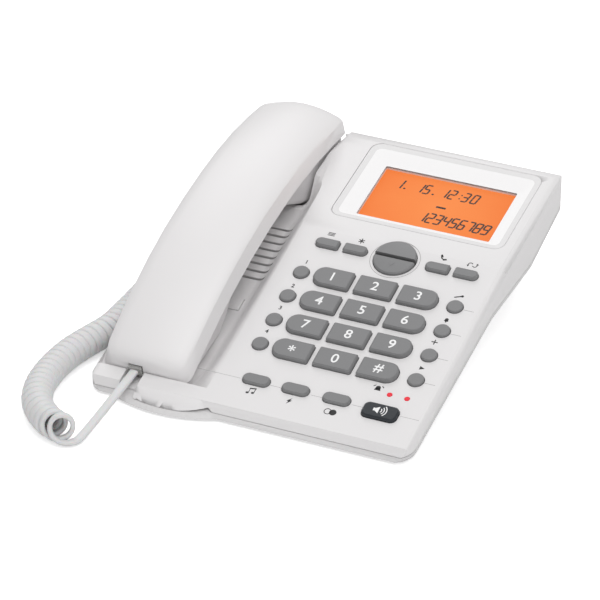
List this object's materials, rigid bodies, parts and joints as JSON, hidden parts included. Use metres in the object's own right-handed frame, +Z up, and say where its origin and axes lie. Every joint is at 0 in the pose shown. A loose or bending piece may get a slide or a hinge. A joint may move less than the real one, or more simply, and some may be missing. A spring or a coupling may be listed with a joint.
{
  "type": "corded desk telephone",
  "caption": "Corded desk telephone: wedge base with key field and lit display, arched handset in its cradle and a curly cord.",
  "frame": {"origin": "on the table, under the middle of the phone's footprint without its cord", "axes": "+X to the user's right, +Y away from the user, +Z up"},
  "size_m": [0.2042, 0.2712, 0.0733],
  "materials": {
    "housing": "fine satin moulded ABS, warm light grey-white",
    "housing_lower": "fine satin moulded ABS",
    "handset": "fine satin moulded ABS, warm light grey-white",
    "lens": "clear window plate with a white-printed border",
    "display": "backlit orange display glass with dark segments",
    "inner_white": "white light guide",
    "board": "solder-resist green circuit board",
    "mat": "translucent grey silicone",
    "dark_metal": "dark speaker basket and cone",
    "black_plastic": "black moulded socket",
    "led": "red diffused lens",
    "rubber": "soft dark grey foot",
    "steel": "zinc-plated",
    "cord": "light grey soft PVC",
    "clear_plug": "translucent modular plug",
    "key": "satin mid grey key",
    "dark_key": "satin near-black key"
  },
  "bodies": {
    "base": {"upper_housing": "housing", "lower_housing": "housing_lower", "display_lens": "lens", "display_glass": "display", "display_backlight": "inner_white", "main_board": "board", "keypad_mat": "mat", "loudspeaker": "dark_metal", "handsfree_microphone": "black_plastic", "status_leds": "led", "hook_tab": "housing", "hook_switch_board": "board", "handset_cord_jack": "black_plastic", "line_jack": "black_plastic", "battery_door": "housing_lower", "rubber_feet": "rubber", "housing_screws": "steel", "cord_tail": "cord", "cord_coil": "cord", "cord_base_tail": "cord", "base_plug": "clear_plug"},
    "handset": {"handset_back": "handset", "handset_front": "handset", "earpiece_capsule": "dark_metal", "handset_microphone": "dark_metal", "handset_weight": "steel", "handset_jack": "black_plastic", "handset_screws": "steel", "handset_plug": "clear_plug"},
    "hook_plunger": {"hook_plunger": "housing_lower"},
    "key_1": {"key_1": "key"},
    "key_2": {"key_2": "key"},
    "key_3": {"key_3": "key"},
    "key_4": {"key_4": "key"},
    "key_5": {"key_5": "key"},
    "key_6": {"key_6": "key"},
    "key_7": {"key_7": "key"},
    "key_8": {"key_8": "key"},
    "key_9": {"key_9": "key"},
    "key_star": {"key_star": "key"},
    "key_0": {"key_0": "key"},
    "key_hash": {"key_hash": "key"},
    "memory_key_1": {"memory_key_1": "key"},
    "memory_key_2": {"memory_key_2": "key"},
    "memory_key_3": {"memory_key_3": "key"},
    "memory_key_4": {"memory_key_4": "key"},
    "side_key_1": {"side_key_1": "key"},
    "side_key_2": {"side_key_2": "key"},
    "side_key_3": {"side_key_3": "key"},
    "side_key_4": {"side_key_4": "key"},
    "menu_key": {"menu_key": "key"},
    "select_key": {"select_key": "key"},
    "nav_up_key": {"nav_up_key": "key"},
    "nav_down_key": {"nav_down_key": "key"},
    "redial_key": {"redial_key": "key"},
    "call_back_key": {"call_back_key": "key"},
    "melody_key": {"melody_key": "key"},
    "flash_key": {"flash_key": "key"},
    "mute_key": {"mute_key": "key"},
    "speaker_key": {"speaker_key": "dark_key"}
  },
  "joints": [
    {"name": "handset_lift", "type": "slide", "parent": "base", "child": "handset", "axis": [0, -0.2436, 0.9699], "range_m": [0, 0.08]},
    {"name": "hook_plunger_slide", "type": "slide", "parent": "base", "child": "hook_plunger", "axis": [0, -0.2436, 0.9699], "range_m": [0, 0.003]},
    {"name": "key_1_press", "type": "slide", "parent": "base", "child": "key_1", "axis": [0, 0.2874, -0.9578], "range_m": [0, 0.001], "stiffness_N_per_m": 300, "springref_m": -0.0005},
    {"name": "key_2_press", "type": "slide", "parent": "base", "child": "key_2", "axis": [0, 0.2874, -0.9578], "range_m": [0, 0.001], "stiffness_N_per_m": 300, "springref_m": -0.0005},
    {"name": "key_3_press", "type": "slide", "parent": "base", "child": "key_3", "axis": [0, 0.2874, -0.9578], "range_m": [0, 0.001], "stiffness_N_per_m": 300, "springref_m": -0.0005},
    {"name": "key_4_press", "type": "slide", "parent": "base", "child": "key_4", "axis": [0, 0.2874, -0.9578], "range_m": [0, 0.001], "stiffness_N_per_m": 300, "springref_m": -0.0005},
    {"name": "key_5_press", "type": "slide", "parent": "base", "child": "key_5", "axis": [0, 0.2874, -0.9578], "range_m": [0, 0.001], "stiffness_N_per_m": 300, "springref_m": -0.0005},
    {"name": "key_6_press", "type": "slide", "parent": "base", "child": "key_6", "axis": [0, 0.2874, -0.9578], "range_m": [0, 0.001], "stiffness_N_per_m": 300, "springref_m": -0.0005},
    {"name": "key_7_press", "type": "slide", "parent": "base", "child": "key_7", "axis": [0, 0.2874, -0.9578], "range_m": [0, 0.001], "stiffness_N_per_m": 300, "springref_m": -0.0005},
    {"name": "key_8_press", "type": "slide", "parent": "base", "child": "key_8", "axis": [0, 0.2874, -0.9578], "range_m": [0, 0.001], "stiffness_N_per_m": 300, "springref_m": -0.0005},
    {"name": "key_9_press", "type": "slide", "parent": "base", "child": "key_9", "axis": [0, 0.2874, -0.9578], "range_m": [0, 0.001], "stiffness_N_per_m": 300, "springref_m": -0.0005},
    {"name": "key_star_press", "type": "slide", "parent": "base", "child": "key_star", "axis": [0, 0.2874, -0.9578], "range_m": [0, 0.001], "stiffness_N_per_m": 300, "springref_m": -0.0005},
    {"name": "key_0_press", "type": "slide", "parent": "base", "child": "key_0", "axis": [0, 0.2874, -0.9578], "range_m": [0, 0.001], "stiffness_N_per_m": 300, "springref_m": -0.0005},
    {"name": "key_hash_press", "type": "slide", "parent": "base", "child": "key_hash", "axis": [0, 0.2874, -0.9578], "range_m": [0, 0.001], "stiffness_N_per_m": 300, "springref_m": -0.0005},
    {"name": "memory_key_1_press", "type": "slide", "parent": "base", "child": "memory_key_1", "axis": [0, 0.2874, -0.9578], "range_m": [0, 0.001], "stiffness_N_per_m": 300, "springref_m": -0.0005},
    {"name": "memory_key_2_press", "type": "slide", "parent": "base", "child": "memory_key_2", "axis": [0, 0.2874, -0.9578], "range_m": [0, 0.001], "stiffness_N_per_m": 300, "springref_m": -0.0005},
    {"name": "memory_key_3_press", "type": "slide", "parent": "base", "child": "memory_key_3", "axis": [0, 0.2874, -0.9578], "range_m": [0, 0.001], "stiffness_N_per_m": 300, "springref_m": -0.0005},
    {"name": "memory_key_4_press", "type": "slide", "parent": "base", "child": "memory_key_4", "axis": [0, 0.2874, -0.9578], "range_m": [0, 0.001], "stiffness_N_per_m": 300, "springref_m": -0.0005},
    {"name": "side_key_1_press", "type": "slide", "parent": "base", "child": "side_key_1", "axis": [0, 0.2874, -0.9578], "range_m": [0, 0.001], "stiffness_N_per_m": 300, "springref_m": -0.0005},
    {"name": "side_key_2_press", "type": "slide", "parent": "base", "child": "side_key_2", "axis": [0, 0.2874, -0.9578], "range_m": [0, 0.001], "stiffness_N_per_m": 300, "springref_m": -0.0005},
    {"name": "side_key_3_press", "type": "slide", "parent": "base", "child": "side_key_3", "axis": [0, 0.2874, -0.9578], "range_m": [0, 0.001], "stiffness_N_per_m": 300, "springref_m": -0.0005},
    {"name": "side_key_4_press", "type": "slide", "parent": "base", "child": "side_key_4", "axis": [0, 0.2874, -0.9578], "range_m": [0, 0.001], "stiffness_N_per_m": 300, "springref_m": -0.0005},
    {"name": "menu_key_press", "type": "slide", "parent": "base", "child": "menu_key", "axis": [0, 0.2874, -0.9578], "range_m": [0, 0.001], "stiffness_N_per_m": 300, "springref_m": -0.0005},
    {"name": "select_key_press", "type": "slide", "parent": "base", "child": "select_key", "axis": [0, 0.2874, -0.9578], "range_m": [0, 0.001], "stiffness_N_per_m": 300, "springref_m": -0.0005},
    {"name": "nav_up_key_press", "type": "slide", "parent": "base", "child": "nav_up_key", "axis": [0, 0.2874, -0.9578], "range_m": [0, 0.001], "stiffness_N_per_m": 300, "springref_m": -0.0005},
    {"name": "nav_down_key_press", "type": "slide", "parent": "base", "child": "nav_down_key", "axis": [0, 0.2874, -0.9578], "range_m": [0, 0.001], "stiffness_N_per_m": 300, "springref_m": -0.0005},
    {"name": "redial_key_press", "type": "slide", "parent": "base", "child": "redial_key", "axis": [0, 0.2874, -0.9578], "range_m": [0, 0.001], "stiffness_N_per_m": 300, "springref_m": -0.0005},
    {"name": "call_back_key_press", "type": "slide", "parent": "base", "child": "call_back_key", "axis": [0, 0.2874, -0.9578], "range_m": [0, 0.001], "stiffness_N_per_m": 300, "springref_m": -0.0005},
    {"name": "melody_key_press", "type": "slide", "parent": "base", "child": "melody_key", "axis": [0, 0.2874, -0.9578], "range_m": [0, 0.001], "stiffness_N_per_m": 300, "springref_m": -0.0005},
    {"name": "flash_key_press", "type": "slide", "parent": "base", "child": "flash_key", "axis": [0, 0.2874, -0.9578], "range_m": [0, 0.001], "stiffness_N_per_m": 300, "springref_m": -0.0005},
    {"name": "mute_key_press", "type": "slide", "parent": "base", "child": "mute_key", "axis": [0, 0.2874, -0.9578], "range_m": [0, 0.001], "stiffness_N_per_m": 300, "springref_m": -0.0005},
    {"name": "speaker_key_press", "type": "slide", "parent": "base", "child": "speaker_key", "axis": [0, 0.2874, -0.9578], "range_m": [0, 0.001], "stiffness_N_per_m": 300, "springref_m": -0.0005}
  ],
  "couplings": [
    {"joint": "hook_plunger_slide", "follows": "handset_lift", "ratio": 0.0375}
  ]
}
